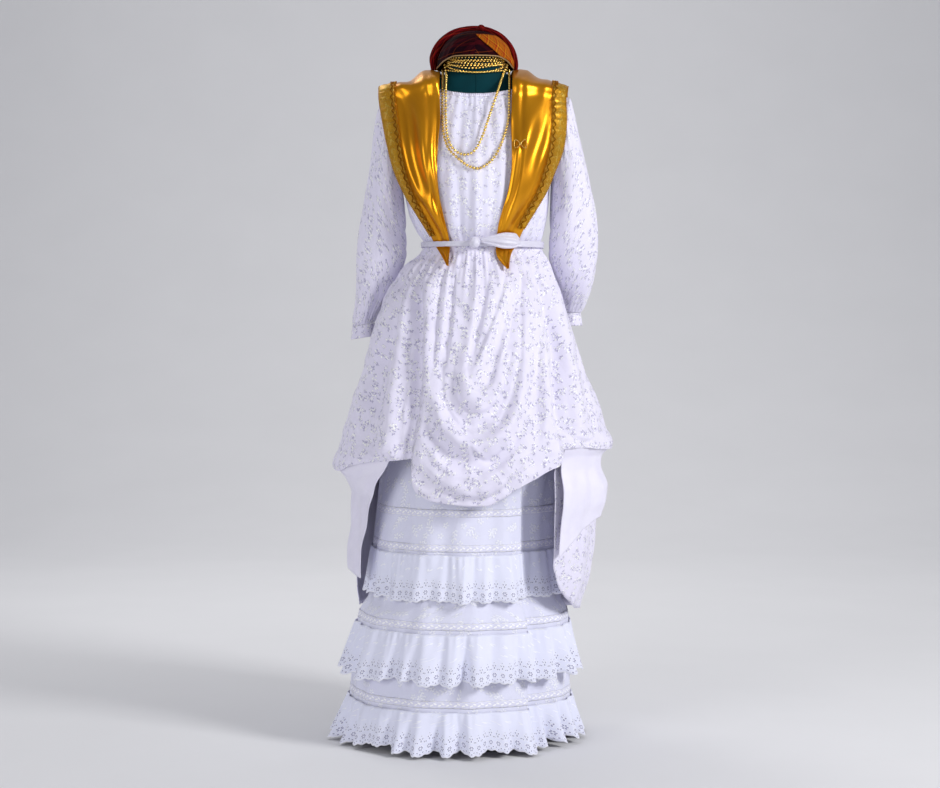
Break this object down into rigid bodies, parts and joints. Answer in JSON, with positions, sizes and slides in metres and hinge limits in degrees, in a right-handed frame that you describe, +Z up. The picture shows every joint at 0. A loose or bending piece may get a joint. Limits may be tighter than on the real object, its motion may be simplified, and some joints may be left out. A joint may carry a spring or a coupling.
{
  "type": "wob dwiyet on a dress form",
  "caption": "White Creole grand robe with caught-up overskirt, flounced petticoat, gold satin foulard, tie belt, madras head tie and bead necklaces on a limbless dress form.",
  "frame": {"origin": "centre of the underside of the stand's round foot, on the floor", "axes": "+Z up along the pole, -Y towards the front of the gown, +X to the viewer's right"},
  "size_m": [0.5825, 0.5242, 1.4922],
  "materials": {
    "form_cloth": "dark teal stretch jersey, matt",
    "stand_metal": "black enamel, satin",
    "sheer_cotton": "fine white cotton voile with woven sprays, slightly sheer",
    "eyelet_cotton": "white cotton broderie anglaise, crisp and matt",
    "sprigged_cotton": "white cotton with shiny embroidered flower sprigs",
    "plain_sateen": "plain white wrong side and ribbon, soft sheen",
    "gold_satin": "golden satin, glossy",
    "gold_lace": "metallic golden lace",
    "madras": "madras check cotton in dark red, purple and orange, matt",
    "gold_metal": "polished golden metal"
  },
  "bodies": {
    "root": {"form_torso": "form_cloth", "form_neck_cap": "stand_metal", "stand_foot": "stand_metal", "stand_pole": "stand_metal", "petticoat_skirt": "sheer_cotton", "insertion_top": "eyelet_cotton", "insertion_upper": "eyelet_cotton", "insertion_middle": "eyelet_cotton", "insertion_lower": "eyelet_cotton", "flounce_top": "eyelet_cotton", "flounce_middle": "eyelet_cotton", "flounce_hem": "eyelet_cotton", "gown_bodice_front": "sprigged_cotton", "gown_bodice_back": "sprigged_cotton", "gown_sleeve_right": "sprigged_cotton", "gown_cuff_right": "sprigged_cotton", "gown_sleeve_left": "sprigged_cotton", "gown_cuff_left": "sprigged_cotton", "gown_skirt_front": "sprigged_cotton", "gown_skirt_back": "sprigged_cotton", "cascade_left": "plain_sateen", "cascade_right": "plain_sateen", "foulard": "gold_satin", "foulard_lace": "gold_lace", "belt_band": "plain_sateen", "belt_knot": "plain_sateen", "belt_loop": "plain_sateen", "head_tie_crown": "madras", "head_tie_roll": "madras", "head_tie_knot": "madras", "necklace_collar_first": "gold_metal", "necklace_collar_second": "gold_metal", "necklace_collar_third": "gold_metal", "necklace_collar_fourth": "gold_metal", "necklace_long_inner": "gold_metal", "necklace_long_outer": "gold_metal", "brooch": "gold_metal"}
  },
  "joints": []
}
